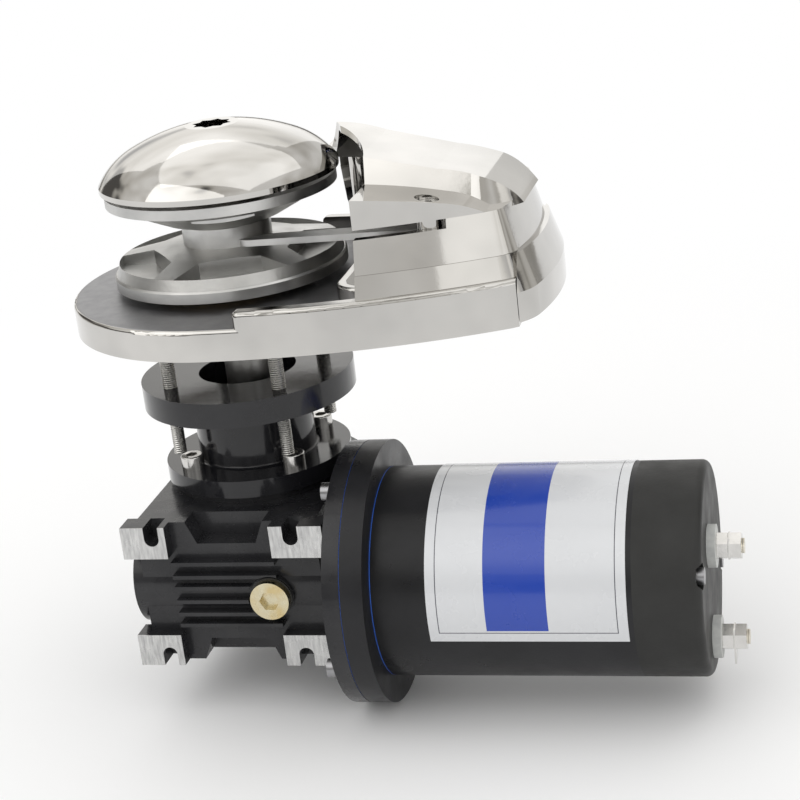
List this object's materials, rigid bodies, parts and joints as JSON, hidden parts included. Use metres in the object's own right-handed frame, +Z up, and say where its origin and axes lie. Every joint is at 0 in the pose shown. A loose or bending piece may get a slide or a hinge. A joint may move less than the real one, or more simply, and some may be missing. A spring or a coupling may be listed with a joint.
{
  "type": "anchor windlass",
  "caption": "Low vertical deck capstan: chainwheel with clutch cap and chain cover above deck, worm gearbox and electric motor hung below it.",
  "frame": {"origin": "spindle axis at the deck plane, where the underside of the base plate rests", "axes": "+Z up along the spindle, +X towards the nose of the cover and along the motor, +Y away from the worm"},
  "size_m": [0.3708, 0.2208, 0.3198],
  "materials": {
    "stainless_polished": "polished stainless steel",
    "fastener": "bright stainless fasteners",
    "stainless_satin": "satin cast stainless steel",
    "bronze": "machined bronze",
    "seal_rubber": "black nitrile rubber",
    "steel_dark": "machined steel",
    "black_gloss": "gloss black paint",
    "black_satin": "satin black paint over aluminium",
    "core_steel": "laminated steel",
    "zinc_yellow": "yellow zinc plate",
    "blue_sealant": "set blue sealant",
    "motor_black": "matte black paint",
    "magnet": "ferrite",
    "copper": "copper",
    "grey_plastic": "grey fibre insulation",
    "carbon": "carbon",
    "label_white": "bare white label with a blue band"
  },
  "bodies": {
    "deck_and_drive_unit": {"base_plate": "stainless_polished", "cover_body": "stainless_polished", "cover_lid": "stainless_polished", "cover_screws": "fastener", "chain_stripper": "stainless_satin", "stripper_screw": "fastener", "shaft_bush": "bronze", "shaft_seal": "seal_rubber", "deck_studs": "fastener", "bell_housing": "black_gloss", "cap_screws": "fastener", "gearbox_housing": "black_satin", "gearbox_cover": "black_satin", "gearbox_cover_screws": "steel_dark", "wheel_bearings": "steel_dark", "output_seals": "seal_rubber", "worm_bearings": "steel_dark", "worm_end_cap": "steel_dark", "filler_plug": "zinc_yellow", "plug_washer": "seal_rubber", "input_flange": "black_satin", "flange_sealant": "blue_sealant", "motor_flange": "motor_black", "motor_sealant": "blue_sealant", "flange_bolts": "steel_dark", "motor_tube": "motor_black", "motor_magnets": "magnet", "motor_bearings": "steel_dark", "brush_holder": "grey_plastic", "brushes": "carbon", "motor_end_cap": "motor_black", "through_bolts": "steel_dark", "motor_label": "label_white", "terminal_studs": "fastener", "terminal_insulators": "grey_plastic", "terminal_nuts": "fastener", "terminal_tab": "fastener"},
    "spindle": {"main_shaft": "stainless_satin", "shaft_keys": "steel_dark", "lower_clutch_cone": "bronze", "wheel_hub": "core_steel", "worm_wheel": "bronze"},
    "chainwheel": {"chainwheel": "stainless_satin"},
    "clutch_cone": {"upper_clutch_cone": "bronze"},
    "clutch_cap": {"clutch_cap": "stainless_polished"},
    "worm_and_armature": {"worm_shaft": "steel_dark", "armature_shaft": "steel_dark", "armature_core": "core_steel", "armature_windings": "copper", "commutator": "copper"}
  },
  "joints": [
    {"name": "spindle_turn", "type": "hinge", "parent": "deck_and_drive_unit", "child": "spindle", "pos_m": [0, 0, 0], "axis": [0, 0, 1], "continuous": true},
    {"name": "worm_turn", "type": "hinge", "parent": "deck_and_drive_unit", "child": "worm_and_armature", "pos_m": [0, -0.05, -0.142], "axis": [1, 0, 0], "continuous": true},
    {"name": "chainwheel_turn", "type": "hinge", "parent": "spindle", "child": "chainwheel", "pos_m": [0, 0, 0.04], "axis": [0, 0, 1], "continuous": true},
    {"name": "clutch_release", "type": "slide", "parent": "spindle", "child": "clutch_cone", "axis": [0, 0, 1], "range_m": [0, 0.0045]},
    {"name": "cap_turn", "type": "hinge", "parent": "clutch_cone", "child": "clutch_cap", "pos_m": [0, 0, 0.09], "axis": [0, 0, 1], "range_deg": [0, 720]}
  ],
  "couplings": [
    {"joint": "worm_turn", "follows": "spindle_turn", "ratio": -30},
    {"joint": "clutch_release", "follows": "cap_turn", "m_per_rad": 0.00031831}
  ]
}
